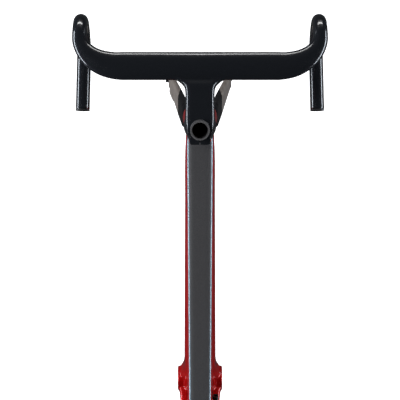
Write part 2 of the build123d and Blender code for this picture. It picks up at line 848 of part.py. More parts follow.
def thru_axle(centre, left_face, right_face, name):
    """A hollow axle with its socket head against the left dropout."""
    with BuildPart() as axle:
        with Locations(Plane(origin=(left_face, centre.Y, centre.Z), x_dir=(0, 1, 0), z_dir=(1, 0, 0))):
            Cylinder(axle_radius, right_face - left_face, align=(Align.CENTER, Align.CENTER, Align.MIN))
            Cylinder(axle_head_radius, axle_head_length, align=(Align.CENTER, Align.CENTER, Align.MAX))
            Cylinder(axle_bore, 3 * (right_face - left_face), mode=Mode.SUBTRACT)
    save(axle.part, name)


thru_axle(front_axle, -front_outer, front_outer + 2, "front_thru_axle")
thru_axle(rear_axle, -rear_outer, rear_outer + hanger_thickness + 2, "rear_thru_axle")

# ==== one-piece bar and stem ====
clamp_top = clamp_bottom + clamp_height
clamp_middle = head_point(0, (clamp_bottom + clamp_top) / 2)
bar_centre = clamp_middle + Vector(0, bar_ahead, bar_rise)
clamp_bore = steerer_radius + clamp_fit
clamp_outer = clamp_bore + clamp_wall
corner_width = hood_half_width - straight_half_width
hood_point = bar_centre + Vector(hood_half_width, hood_ahead, -hood_fall)
slope_cos = cos(radians(hood_slope))
slope_sin = sin(radians(hood_slope))


def bar_sections(side, shrink):
    """Ellipses along one half of the bar, from beside the stem round the corner to the hood."""
    sections = []
    for x, thickness in ((60, bar_thickness + 1), (100, bar_thickness)):
        plane = Plane(origin=bar_centre + Vector(side * x, 0, 0), x_dir=(0, 1, 0), z_dir=(side, 0, 0))
        sections.append((plane, bar_chord, thickness))
    tube_width = 2 * bar_tube_radius
    for turn, width, thickness in (
        (0, bar_chord, bar_thickness),
        (22.5, 42.0, bar_thickness),
        (45, 35.0, 21.0),
        (67.5, 28.0, 22.5),
    ):
        angle = radians(turn)
        across = side * (straight_half_width + corner_width * sin(angle))
        ahead = hood_ahead * (1 - cos(angle))
        fall = hood_fall * (turn / 90) ** 2
        tangent = Vector(side * corner_width * cos(angle), hood_ahead * sin(angle), 0).normalized()
        normal = Vector(-tangent.Y * side, tangent.X * side, 0)
        plane = Plane(origin=bar_centre + Vector(across, ahead, -fall), x_dir=normal, z_dir=tangent)
        sections.append((plane, width, thickness))
    tangent = Vector(-side * drop_flare, 1, 0).normalized() * slope_cos - Vector(0, 0, slope_sin)
    hood = Vector(side * hood_point.X, hood_point.Y, hood_point.Z)
    plane = Plane(origin=hood, x_dir=(-side, -drop_flare, 0), z_dir=tangent)
    sections.append((plane, tube_width, tube_width))
    return [(plane, width / 2 - shrink, thickness / 2 - shrink) for plane, width, thickness in sections]


def bar_tops(shrink):
    """The flattened tops and both corners, drawn in by a wall's thickness."""
    middle = Plane(origin=bar_centre, x_dir=(0, 1, 0), z_dir=(1, 0, 0))
    left = [
        (Plane(origin=plane.origin, x_dir=plane.x_dir, z_dir=-plane.z_dir), width, thickness)
        for plane, width, thickness in reversed(bar_sections(-1, shrink))
    ]
    centre = [(middle, bar_chord / 2 - shrink, bar_thickness / 2 + 1.5 - shrink)]
    with BuildPart() as tops:
        for plane, width, thickness in left + centre + bar_sections(1, shrink):
            with BuildSketch(plane):
                Ellipse(width, thickness)
        loft()
    return tops.part


def bar_hook(side, radius):
    """The round hook and drop of one side, from the hood to the bar's end."""
    origin = Vector(side * hood_point.X, hood_point.Y, hood_point.Z)
    hook_plane = Plane(origin=origin, x_dir=(-side * drop_flare, 1, 0), z_dir=(1, side * drop_flare, 0))
    with BuildPart() as hook:
        with BuildLine(hook_plane) as path:
            front = JernArc((0, 0), (slope_cos, -slope_sin), hook_radius, -(90 - hood_slope))
            belly = JernArc(front @ 1, front % 1, belly_radius, -belly_turn)
            heel = JernArc(belly @ 1, belly % 1, heel_radius, -heel_turn)
            Line(heel @ 1, (heel @ 1) + (heel % 1) * drop_straight)
        with BuildSketch(Plane(origin=path.line @ 0, z_dir=path.line % 0)):
            Circle(radius)
        sweep()
    return hook.part, path.line @ 1, path.line % 1


stem_loft = lofted(
    [
        (Plane(origin=clamp_middle + Vector(0, 2, -0.6), x_dir=(1, 0, 0), z_dir=(0, 1, 0)), (41, 34, 9)),
        (Plane(origin=bar_centre + Vector(0, -46, -9.5), x_dir=(1, 0, 0), z_dir=(0, 1, 0)), (stem_width, 30, 9)),
        (Plane(origin=bar_centre + Vector(0, -33, -5), x_dir=(1, 0, 0), z_dir=(0, 1, 0)), (48, 25, 9)),
        (Plane(origin=bar_centre + Vector(0, -25, -2), x_dir=(1, 0, 0), z_dir=(0, 1, 0)), (66, 17, 7)),
        (Plane(origin=bar_centre + Vector(0, -16, 0), x_dir=(1, 0, 0), z_dir=(0, 1, 0)), (104, 9, 4.2)),
    ]
)
bar_outer = bar_tops(0)
bar_inner = bar_tops(bar_wall)
hooks = {side: bar_hook(side, bar_tube_radius) for side in (-1, 1)}
bores = {side: bar_hook(side, bar_tube_radius - bar_wall) for side in (-1, 1)}
bolt_line = -(clamp_bore + bolt_radius + 2.1)
bolt_heights = {1: clamp_bottom + 10, -1: clamp_top - 10}
clamp_half_width = 17.0
with BuildPart() as handlebar:
    with BuildSketch(head_plane(clamp_bottom)):
        Circle(clamp_outer)
        with Locations((0, -clamp_rear / 2)):
            RectangleRounded(2 * clamp_half_width, clamp_rear, 4)
    extrude(amount=clamp_height)
    add(stem_loft)
    add(bar_outer)
    add(hooks[1][0])
    add(hooks[-1][0])
    add(bar_inner, mode=Mode.SUBTRACT)
    add(bores[1][0], mode=Mode.SUBTRACT)
    add(bores[-1][0], mode=Mode.SUBTRACT)
    with BuildSketch(head_plane(clamp_bottom - 60)):
        Circle(clamp_outer + 12)
    extrude(amount=60, mode=Mode.SUBTRACT)
    with BuildSketch(head_plane(clamp_bottom - 5)):
        Circle(clamp_bore)
        with Locations((0, -clamp_bore - 6)):
            Rectangle(2, 20)
    extrude(amount=clamp_height + 20, mode=Mode.SUBTRACT)
    for side, height in bolt_heights.items():
        bolt_plane = Plane(origin=head_point(bolt_line, height), x_dir=axis_up, z_dir=(side, 0, 0))
        with Locations(bolt_plane):
            Cylinder(bolt_radius + slide_fit, 80, mode=Mode.SUBTRACT)
        for end in (1, -1):
            with BuildSketch(bolt_plane.offset(end * (clamp_half_width - bolt_head_length))):
                Circle(bolt_head_radius + slide_fit)
            extrude(amount=end * 20, mode=Mode.SUBTRACT)
save(handlebar.part, "handlebar")

with BuildPart() as clamp_bolts:
    for side, height in bolt_heights.items():
        bolt_plane = Plane(origin=head_point(bolt_line, height), x_dir=axis_up, z_dir=(side, 0, 0))
        with BuildSketch(bolt_plane.offset(clamp_half_width - bolt_head_length)):
            Circle(bolt_head_radius)
        extrude(amount=bolt_head_length - 0.4)
        with BuildSketch(bolt_plane.offset(-clamp_half_width + 1)):
            Circle(bolt_radius)
        extrude(amount=2 * clamp_half_width - 1 - bolt_head_length)
        with BuildSketch(bolt_plane.offset(clamp_half_width - 0.4)):
            RegularPolygon(2.3, 6)
        extrude(amount=-2.5, mode=Mode.SUBTRACT)
save(clamp_bolts.part, "stem_clamp_bolts")

with BuildPart() as clamp_nuts:
    for side, height in bolt_heights.items():
        nut_plane = Plane(origin=head_point(bolt_line, height), x_dir=axis_up, z_dir=(-side, 0, 0))
        with BuildSketch(nut_plane.offset(clamp_half_width - bolt_head_length)):
            Circle(bolt_head_radius)
            Circle(bolt_radius + slide_fit, mode=Mode.SUBTRACT)
        extrude(amount=bolt_head_length - 0.4)
save(clamp_nuts.part, "stem_clamp_nuts")

plug_length = 16.0
plug_lip = 1.6
plug_radius = bar_tube_radius - bar_wall - slide_fit
with BuildPart() as bar_end_plugs:
    for side in (1, -1):
        end_plane = Plane(origin=hooks[side][1], z_dir=hooks[side][2])
        with Locations(end_plane):
            Cylinder(bar_tube_radius, plug_lip, align=(Align.CENTER, Align.CENTER, Align.MIN))
            Cylinder(plug_radius, plug_length, align=(Align.CENTER, Align.CENTER, Align.MAX))
save(bar_end_plugs.part, "bar_end_plugs")

# ==== seatpost ====
post_bottom = seat_tube_length - post_insertion
post_top = post_bottom + post_length
clamp_axis_point = seat_direction * (post_top + 6)
with BuildPart() as seatpost:
    with BuildSketch(tube_plane(bracket, seat_direction, post_bottom)):
        SlotOverall(post_depth, post_width, rotation=90)
    extrude(amount=post_length)
    with BuildSketch(Plane.YZ.offset(-post_head_width / 2)):
        with Locations((clamp_axis_point.Y, clamp_axis_point.Z)):
            Circle(post_head_radius)
    extrude(amount=post_head_width)
    with BuildSketch(tube_plane(bracket, seat_direction, post_bottom)):
        SlotOverall(post_depth - 2 * post_wall, post_width - 2 * post_wall, rotation=90)
    extrude(amount=post_length - 14, mode=Mode.SUBTRACT)
    with BuildSketch(Plane.YZ.offset(-post_head_width)):
        with Locations((clamp_axis_point.Y, clamp_axis_point.Z)):
            Circle(saddle_bolt_radius + running_fit)
    extrude(amount=2 * post_head_width, mode=Mode.SUBTRACT)
save(seatpost.part, "seatpost")

jaw_inner = post_head_width / 2 + 0.2
rail_x = rail_spacing / 2
jaw_split = 0.5
jaw_outer = rail_x + jaw_split + jaw_thickness
rail_point = clamp_axis_point + Vector(0, 0, rail_height)
jaw_spans = {"inner": (jaw_inner, rail_x - jaw_split), "outer": (rail_x + jaw_split, jaw_outer)}
for place, (near, far) in jaw_spans.items():
    with BuildPart() as jaws:
        for side in (-1, 1):
            with BuildSketch(Plane.YZ.offset(min(side * near, side * far))):
                with Locations((clamp_axis_point.Y, clamp_axis_point.Z)):
                    Circle(10)
                with Locations((rail_point.Y, rail_point.Z)):
                    RectangleRounded(jaw_length, 12, 3)
                make_hull()
                with Locations((clamp_axis_point.Y, clamp_axis_point.Z)):
                    Circle(saddle_bolt_radius + slide_fit, mode=Mode.SUBTRACT)
            extrude(amount=far - near)
            with BuildSketch(Plane.XZ.offset(-rail_point.Y - jaw_length)):
                with Locations((side * rail_x, rail_point.Z)):
                    Circle(rail_radius)
            extrude(amount=2 * jaw_length, mode=Mode.SUBTRACT)
    save(jaws.part, f"saddle_clamp_{place}_jaws")

saddle_bolt_head = 6.0
axis_plane = Plane(origin=clamp_axis_point, x_dir=(0, 1, 0), z_dir=(1, 0, 0))
with BuildPart() as saddle_bolt:
    with BuildSketch(axis_plane.offset(-jaw_outer - saddle_bolt_head + 1)):
        Circle(saddle_bolt_radius)
    extrude(amount=2 * jaw_outer + saddle_bolt_head - 1)
    with BuildSketch(axis_plane.offset(jaw_outer)):
        Circle(7)
    extrude(amount=saddle_bolt_head)
    with BuildSketch(axis_plane.offset(jaw_outer + saddle_bolt_head)):
        RegularPolygon(3, 6)
    extrude(amount=-4, mode=Mode.SUBTRACT)
save(saddle_bolt.part, "saddle_clamp_bolt")
with BuildPart() as saddle_nut:
    with BuildSketch(axis_plane.offset(-jaw_outer - saddle_bolt_head)):
        RegularPolygon(7.5, 6)
        Circle(saddle_bolt_radius + slide_fit, mode=Mode.SUBTRACT)
    extrude(amount=saddle_bolt_head)
save(saddle_nut.part, "saddle_clamp_nut")
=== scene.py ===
import json
from math import cos, pi, radians, sin

import bmesh
import bpy
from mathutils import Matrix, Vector


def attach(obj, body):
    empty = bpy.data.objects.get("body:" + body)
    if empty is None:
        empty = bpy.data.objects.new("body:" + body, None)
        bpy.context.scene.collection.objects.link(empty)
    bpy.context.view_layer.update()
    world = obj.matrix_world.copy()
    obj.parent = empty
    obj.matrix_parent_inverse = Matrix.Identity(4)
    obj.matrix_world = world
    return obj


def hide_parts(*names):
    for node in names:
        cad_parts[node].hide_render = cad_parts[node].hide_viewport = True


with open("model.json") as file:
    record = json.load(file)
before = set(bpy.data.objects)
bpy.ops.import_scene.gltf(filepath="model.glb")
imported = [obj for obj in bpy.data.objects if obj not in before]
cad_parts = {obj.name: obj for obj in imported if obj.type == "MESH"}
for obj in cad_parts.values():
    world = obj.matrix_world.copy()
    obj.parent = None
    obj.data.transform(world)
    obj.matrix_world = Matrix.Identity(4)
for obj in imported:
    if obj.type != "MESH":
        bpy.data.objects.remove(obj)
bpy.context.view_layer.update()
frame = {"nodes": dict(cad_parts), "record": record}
print("frame loaded")

# where the bike's lines run, in metres
geometry = {
    "stack": 0.552,
    "reach": 0.388,
    "headAngle": 73.0,
    "headLength": 0.150,
    "seatAngle": 73.5,
    "seatTubeLength": 0.505,
    "bracketDrop": 0.070,
    "chainstayLength": 0.410,
}
headCos = cos(radians(geometry["headAngle"]))
headSin = sin(radians(geometry["headAngle"]))
axisUp = Vector((0, -headCos, headSin))
axisAhead = Vector((0, headSin, headCos))
crownPoint = Vector((
    0,
    geometry["reach"] + geometry["headLength"] * headCos,
    geometry["stack"] - geometry["headLength"] * headSin,
))
sideways = Vector((1, 0, 0))
seatUp = Vector((0, -cos(radians(geometry["seatAngle"])), sin(radians(geometry["seatAngle"]))))


def headPoint(ahead, along, side=0.0):
    return crownPoint + axisAhead * ahead + axisUp * along + sideways * side


downEnd = headPoint(0, 0.062)
downLength = downEnd.length
downAlong = downEnd / downLength
topStart = headPoint(0, 0.120)
topEnd = seatUp * 0.468
topLength = (topEnd - topStart).length
topAlong = (topEnd - topStart) / topLength
rearAxle = Vector((
    0,
    -((geometry["chainstayLength"] ** 2 - geometry["bracketDrop"] ** 2) ** 0.5),
    geometry["bracketDrop"],
))


# mesh helpers
def meshObject(name, verts, faces):
    mesh = bpy.data.meshes.new(name)
    mesh.from_pydata([tuple(v) for v in verts], [], faces)
    mesh.update()
    obj = bpy.data.objects.new(name, mesh)
    bpy.context.scene.collection.objects.link(obj)
    return obj


def dropObject(*objs):
    for obj in objs:
        bpy.data.objects.remove(obj)


def roundedRing(width, depth, corner, perCorner=9):
    # one section as flat points; a corner of None means an ellipse
    if corner is None:
        steps = 4 * perCorner
        return [
            (width / 2 * cos(2 * pi * i / steps), depth / 2 * sin(2 * pi * i / steps))
            for i in range(steps)
        ]
    corner = min(corner, width / 2 - 1e-5, depth / 2 - 1e-5)
    points = []
    for quarter, (sx, sy) in enumerate(((1, 1), (-1, 1), (-1, -1), (1, -1))):
        for i in range(perCorner):
            angle = pi / 2 * (quarter + i / (perCorner - 1))
            points.append((
                sx * (width / 2 - corner) + corner * cos(angle),
                sy * (depth / 2 - corner) + corner * sin(angle),
            ))
    return points


def skin(name, rings):
    # a closed skin over rings of points
    count = len(rings[0])
    verts = [p for ring in rings for p in ring]
    faces = []
    for r in range(len(rings) - 1):
        for i in range(count):
            j = (i + 1) % count
            faces.append((r * count + i, r * count + j, (r + 1) * count + j, (r + 1) * count + i))
    faces.append(tuple(reversed(range(count))))
    faces.append(tuple(range((len(rings) - 1) * count, len(rings) * count)))
    obj = meshObject(name, verts, faces)
    work = bmesh.new()
    work.from_mesh(obj.data)
    bmesh.ops.recalc_face_normals(work, faces=work.faces)
    work.to_mesh(obj.data)
    work.free()
    return obj


def smoothStations(stations, step):
    # stations are (centre, across, upward, width, depth, corner); a soft curve runs through them
    rows = [
        [*c, *x, *y, w, d, r if r is not None else 0.0]
        for c, x, y, w, d, r in stations
    ]
    place = [0.0]
    for a, b in zip(rows, rows[1:]):
        place.append(place[-1] + (Vector(b[:3]) - Vector(a[:3])).length)
    last = len(rows) - 1
    slopes = []
    for i in range(last + 1):
        lo, hi = max(i - 1, 0), min(i + 1, last)
        slopes.append([(b - a) / (place[hi] - place[lo]) for a, b in zip(rows[lo], rows[hi])])
    made = []
    for i in range(last):
        span = place[i + 1] - place[i]
        pieces = max(2, round(span / step))
        for k in range(pieces + (i == last - 1)):
            t = k / pieces
            weights = (
                2 * t**3 - 3 * t**2 + 1,
                (t**3 - 2 * t**2 + t) * span,
                3 * t**2 - 2 * t**3,
                (t**3 - t**2) * span,
            )
            made.append([
                sum(w * v for w, v in zip(weights, values))
                for values in zip(rows[i], slopes[i], rows[i + 1], slopes[i + 1])
            ])
    return made


def loftTube(name, stations, step=0.006):
    round_ = stations[0][5] is None
    rings = []
    for row in smoothStations(stations, step):
        centre, across, upward = Vector(row[:3]), Vector(row[3:6]).normalized(), Vector(row[6:9]).normalized()
        ring = roundedRing(row[9], row[10], None if round_ else row[11])
        rings.append([centre + across * u + upward * v for u, v in ring])
    return skin(name, rings)


def tubeStation(start, along, distance, section, side=0.0, lift=0.0):
    upward = along.cross(sideways).normalized()
    return (start + along * distance + sideways * side + upward * lift, sideways, upward, *section)


def headStation(along, section, ahead=0.0, side=0.0):
    return (headPoint(ahead, along, side), sideways, axisAhead, *section)


def turnedSolid(name, centre, axis, profile, steps=96):
    # a solid of revolution from (radius, height) pairs
    across = sideways if abs(axis.x) < 0.9 else Vector((0, 1, 0))
    other = axis.cross(across).normalized()
    rings = []
    for radius, height in profile:
        rings.append([
            centre + axis * height + (across * cos(a) + other * sin(a)) * max(radius, 1e-5)
            for a in (2 * pi * i / steps for i in range(steps))
        ])
    return skin(name, rings)


def block(name, centre, axes, size):
    x, y, z = (a * s / 2 for a, s in zip(axes, size))
    ring = [-x - y, x - y, x + y, -x + y]
    return skin(name, [[centre + p - z for p in ring], [centre + p + z for p in ring]])


def slotCutter(name, start, along, distance, length, width, depth):
    # a long hole with round ends, its long way along the bike's plane
    upward = along.cross(sideways).normalized()
    flat = (length - width) / 2
    outline = []
    for i in range(24):
        angle = 2 * pi * i / 24 + pi / 24
        shift = flat if sin(angle) > 0 else -flat
        outline.append(sideways * (width / 2 * cos(angle)) + upward * (width / 2 * sin(angle) + shift))
    base = start + along * distance
    return skin(name, [[base + p for p in outline], [base + along * depth + p for p in outline]])


def evaluated(obj, name):
    graph = bpy.context.evaluated_depsgraph_get()
    mesh = bpy.data.meshes.new_from_object(obj.evaluated_get(graph))
    made = bpy.data.objects.new(name, mesh)
    bpy.context.scene.collection.objects.link(made)
    return made


def melt(name, parts, voxel, rounds):
    # parts run into each other with a soft fillet at every joint
    work = bmesh.new()
    for part in parts:
        work.from_mesh(part.data)
    joined = meshObject(name + "Joined", [], [])
    work.to_mesh(joined.data)
    work.free()
    dropObject(*parts)
    remesh = joined.modifiers.new("merge", "REMESH")
    remesh.mode = "VOXEL"
    remesh.voxel_size = voxel
    soften = joined.modifiers.new("soften", "SMOOTH")
    soften.factor = 0.5
    soften.iterations = rounds
    made = evaluated(joined, name)
    dropObject(joined)
    print(name, "melted,", len(made.data.polygons), "faces")
    return made


def keepSide(source, name, *planes):
    # the part of a closed mesh in front of every (point, normal), with flat caps
    work = bmesh.new()
    work.from_mesh(source.data)
    for point, normal in planes:
        everything = work.verts[:] + work.edges[:] + work.faces[:]
        bmesh.ops.bisect_plane(
            work, geom=everything, plane_co=point, plane_no=normal, clear_inner=True, dist=1e-7
        )
        rim = [e for e in work.edges if e.is_boundary]
        bmesh.ops.holes_fill(work, edges=rim, sides=0)
    bmesh.ops.triangulate(work, faces=[f for f in work.faces if len(f.verts) > 4])
    made = meshObject(name, [], [])
    work.to_mesh(made.data)
    work.free()
    return made


def carve(obj, cutters):
    for cutter in cutters:
        cut = obj.modifiers.new("cut", "BOOLEAN")
        cut.operation = "DIFFERENCE"
        cut.solver = "MANIFOLD"
        cut.object = cutter
    name = obj.name
    obj.name = name + "Uncut"
    made = evaluated(obj, name)
    dropObject(obj, *cutters)
    return made


def finishPiece(obj, body, slot, material, *nodes):
    mesh = obj.data
    for face in mesh.polygons:
        face.use_smooth = True
    mesh.set_sharp_from_angle(angle=radians(32))
    mesh.materials.clear()
    mesh.materials.append(material)
    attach(obj, body)
    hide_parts(*nodes)
    print(obj.name, "has", len(mesh.polygons), "faces")


# shader maths
class Wire:
    def __init__(self, net, socket):
        self.net = net
        self.socket = socket

    def mathWith(self, operation, first, second=0.0):
        return self.net.node("ShaderNodeMath", {"operation": operation}, {0: first, 1: second})

    def __add__(self, other): return self.mathWith("ADD", self, other)
    def __radd__(self, other): return self.mathWith("ADD", other, self)
    def __sub__(self, other): return self.mathWith("SUBTRACT", self, other)
    def __rsub__(self, other): return self.mathWith("SUBTRACT", other, self)
    def __mul__(self, other): return self.mathWith("MULTIPLY", self, other)
    def __rmul__(self, other): return self.mathWith("MULTIPLY", other, self)
    def __gt__(self, other): return self.mathWith("GREATER_THAN", self, other)
    def __lt__(self, other): return self.mathWith("LESS_THAN", self, other)
    def __abs__(self): return self.mathWith("ABSOLUTE", self)


class Finish:
    # one material: values are constants on the shader, wires vary over the surface
    def __init__(self, name, values):
        self.material = bpy.data.materials.new(name)
        self.material.use_nodes = True
        self.tree = self.material.node_tree
        self.shader = self.tree.nodes["Principled BSDF"]
        for key, value in values.items():
            self.shader.inputs[key].default_value = value
        self.place = self.node("ShaderNodeTexCoord", {}, {}, output="Object")

    def node(self, kind, settings, inputs, output=0):
        made = self.tree.nodes.new(kind)
        for key, value in settings.items():
            if key == "stops":
                ramp = made.color_ramp
                ramp.elements[0].position, ramp.elements[0].color = value[0]
                ramp.elements[1].position, ramp.elements[1].color = value[-1]
                for position, colour in value[1:-1]:
                    ramp.elements.new(position).color = colour
            else:
                setattr(made, key, value)
        for key, value in inputs.items():
            if isinstance(value, Wire):
                self.tree.links.new(value.socket, made.inputs[key])
            else:
                made.inputs[key].default_value = value
        return Wire(self, made.outputs[output])

    def noise(self, scale, detail=3.0, roughness=0.5):
        return self.node(
            "ShaderNodeTexNoise", {}, {"Vector": self.place, "Scale": scale, "Detail": detail, "Roughness": roughness}
        )

    def mixed(self, share, first, second):
        return self.node(
            "ShaderNodeMix", {"data_type": "RGBA"}, {0: share, 6: first, 7: second}, output=2
        )

    def spread(self, value, low, high, toLow, toHigh):
        return self.node(
            "ShaderNodeMapRange", {}, {0: value, 1: low, 2: high, 3: toLow, 4: toHigh}
        )

    def dot(self, vector):
        return self.node(
            "ShaderNodeVectorMath", {"operation": "DOT_PRODUCT"}, {0: self.place, 1: tuple(vector)}, output="Value"
        )

    def set(self, key, wire):
        self.tree.links.new(wire.socket, self.shader.inputs[key])

    def bump(self, height, strength, distance):
        self.set("Normal", self.node(
            "ShaderNodeBump", {}, {"Strength": strength, "Distance": distance, "Height": height}, output="Normal"
        ))


def colour(r, g, b):
    return (r, g, b, 1.0)


framePaintLook = {
    "red": colour(0.60, 0.004, 0.004),
    "redDeep": colour(0.42, 0.002, 0.003),
    "panel": colour(0.052, 0.052, 0.056),
    "panelLight": colour(0.074, 0.074, 0.078),
    "stripe": colour(0.095, 0.145, 0.180),
    "stripeInset": 0.0022,
    "stripeWidth": 0.0030,
    "stripeStart": 0.006,
}


def makeFramePaint():
    look = framePaintLook
    paint = Finish("framePaint", {
        "Metallic": 0.35, "Roughness": 0.30, "Coat Weight": 1.0, "Coat Roughness": 0.03, "Coat IOR": 1.5,
    })
    cloud = paint.noise(9.0, 2.0)
    flake = paint.noise(2600.0, 1.0)
    red = paint.mixed(paint.spread(cloud * 0.6 + flake * 0.4, 0.35, 0.62, 0.0, 1.0), look["redDeep"], look["red"])
    panel = paint.mixed(paint.spread(paint.noise(900.0, 4.0), 0.35, 0.65, 0.0, 1.0), look["panel"], look["panelLight"])
    upward = topAlong.cross(sideways).normalized()
    if upward.z < 0:
        upward = -upward
    along = paint.dot(topAlong) - topStart.dot(topAlong)
    height = paint.dot(upward) - topStart.dot(upward)
    parts = paint.node("ShaderNodeSeparateXYZ", {}, {0: paint.place}, output="X")
    fromMiddle = abs(parts)
    halfWidth = paint.spread(along, 0.036, topLength - 0.040, 0.0240, 0.0200)
    inset = halfWidth - fromMiddle
    onTop = (height > 0.003) * (along > 0.030) * (along < topLength - 0.034)
    panelMask = (inset > look["stripeInset"] + look["stripeWidth"]) * onTop
    striped = (height > 0.003) * (along > look["stripeStart"]) * (along < topLength - 0.034)
    outerBand = (inset > look["stripeInset"]) * striped
    stripeMask = outerBand - outerBand * (inset > look["stripeInset"] + look["stripeWidth"])
    body = paint.mixed(stripeMask, red, look["stripe"])
    paint.set("Base Color", paint.mixed(panelMask, body, panel))
    paint.set("Metallic", 0.35 - panelMask * 0.30 - stripeMask * 0.10)
    paint.set("Roughness", 0.30 + panelMask * 0.14 + paint.noise(300.0) * 0.03)
    paint.set("Coat Weight", 1.0 - panelMask * 0.75)
    paint.bump(paint.noise(420.0, 2.0), 0.03, 0.0006)
    return paint.material


forkPaintLook = {
    "black": colour(0.003, 0.003, 0.004),
    "taupe": colour(0.300, 0.260, 0.232),
    "taupeDeep": colour(0.235, 0.205, 0.184),
    "edgeAlong": -0.105,
    "edgeSide": 0.040,
    "edgeSlope": 14.7,
}


def makeForkPaint():
    look = forkPaintLook
    paint = Finish("forkPaint", {
        "Metallic": 0.0, "Roughness": 0.22, "Specular IOR Level": 0.2,
        "Coat Weight": 0.18, "Coat Roughness": 0.03, "Coat IOR": 1.5,
    })
    along = paint.dot(axisUp) - crownPoint.dot(axisUp)
    fromMiddle = abs(paint.node("ShaderNodeSeparateXYZ", {}, {0: paint.place}, output="X"))
    edge = along - look["edgeAlong"] + (look["edgeSide"] - fromMiddle) * look["edgeSlope"]
    # taupe on the lower legs below a slanted line that climbs towards the outer side, black above
    mask = edge < 0.0
    taupe = paint.mixed(paint.spread(paint.noise(45.0, 4.0), 0.35, 0.65, 0.0, 1.0), look["taupeDeep"], look["taupe"])
    black = paint.mixed(paint.noise(700.0, 2.0), look["black"], colour(0.006, 0.006, 0.007))
    paint.set("Base Color", paint.mixed(mask, black, taupe))
    paint.set("Roughness", 0.20 + mask * 0.16 + paint.noise(260.0) * 0.03)
    paint.bump(paint.noise(420.0, 2.0), 0.03, 0.0006)
    return paint.material


def makeGlossBlack():
    paint = Finish("barLacquer", {
        "Metallic": 0.0, "Roughness": 0.24, "Coat Weight": 1.0, "Coat Roughness": 0.04, "Coat IOR": 1.5,
    })
    fine = paint.noise(900.0, 2.0)
    paint.set("Base Color", paint.mixed(fine, colour(0.006, 0.007, 0.009), colour(0.014, 0.016, 0.020)))
    paint.set("Roughness", 0.22 + paint.noise(180.0, 3.0) * 0.06)
    paint.bump(paint.noise(420.0, 2.0), 0.03, 0.0006)
    return paint.material


def makeSolidFinish(name, low, high, metallic, roughness, grain, strength, coat=0.0):
    # a plain finish with a fine grain in its colour, gloss and surface
    paint = Finish(name, {"Metallic": metallic, "Roughness": roughness, "Coat Weight": coat})
    fine = paint.noise(grain, 4.0, 0.6)
    worn = paint.noise(70.0, 3.0)
    paint.set("Base Color", paint.mixed(paint.spread(fine * 0.6 + worn * 0.4, 0.3, 0.7, 0.0, 1.0), low, high))
    paint.set("Roughness", roughness - 0.05 + worn * 0.10)
    paint.bump(fine, strength, 0.0004)
    return paint.material


def makeWeave():
    # bare laminate: crossing tows that catch the light in turn
    paint = Finish("bareLaminate", {"Metallic": 0.0, "Roughness": 0.42, "Coat Weight": 0.3, "Coat Roughness": 0.2})
    low, high = colour(0.050, 0.050, 0.052), colour(0.130, 0.130, 0.135)
    tows = paint.node("ShaderNodeTexWave", {"wave_type": "BANDS", "bands_direction": "DIAGONAL"}, {
        "Vector": paint.place, "Scale": 130.0, "Distortion": 1.0, "Detail": 1.0,
    })
    worn = paint.noise(90.0, 3.0)
    paint.set("Base Color", paint.mixed(tows * 0.5 + worn * 0.5, low, high))
    paint.set("Roughness", 0.36 + tows * 0.12)
    paint.bump(tows, 0.12, 0.0003)
    return paint.material


looks = {
    "frame_paint": makeFramePaint(),
    "fork_paint": makeForkPaint(),
    "bar_carbon": makeGlossBlack(),
    "bare_carbon": makeWeave(),
    "black_alloy": makeSolidFinish(
        "blackAnodised", colour(0.022, 0.022, 0.024), colour(0.040, 0.040, 0.043), 0.75, 0.36, 1400.0, 0.10
    ),
    "steel": makeSolidFinish(
        "darkPlatedSteel", colour(0.20, 0.20, 0.21), colour(0.34, 0.34, 0.35), 1.0, 0.28, 1100.0, 0.08
    ),
    "rubber": makeSolidFinish(
        "softRubber", colour(0.012, 0.012, 0.012), colour(0.024, 0.024, 0.024), 0.0, 0.62, 800.0, 0.25
    ),
    "matte_cover": makeSolidFinish(
        "mouldedPlastic", colour(0.016, 0.016, 0.017), colour(0.032, 0.032, 0.034), 0.0, 0.48, 1000.0, 0.20
    ),
}
slotOf = {s["node"]: s["material_slot"] for s in frame["record"]["subparts"]}
for nodeName, node in frame["nodes"].items():
    node.data.materials.clear()
    node.data.materials.append(looks[slotOf[nodeName]])
print("materials made")

# frame shell
shellLook = {"voxel": 0.0015, "softening": 10}
lug = 0.050
rearMiddle = 0.0755
stayStart = Vector((0, -0.014, -0.003))
stayEnd = rearAxle + Vector((0, 0.026, -0.010))
stayAlong = (stayEnd - stayStart).normalized()
stayLength = (stayEnd - stayStart).length
seatstayStart = seatUp * 0.398 + Vector((0, -0.006, 0))
seatstayEnd = rearAxle + Vector((0, 0.007, 0.031))
seatstayAlong = (seatstayEnd - seatstayStart).normalized()
seatstayLength = (seatstayEnd - seatstayStart).length


def mixSection(first, last, share):
    return tuple(a + (b - a) * share for a, b in zip(first, last))


def taperedRun(start, along, near, far, first, last, steps=5):
    return [
        tubeStation(start, along, near + (far - near) * i / steps, mixSection(first, last, i / steps))
        for i in range(steps + 1)
    ]


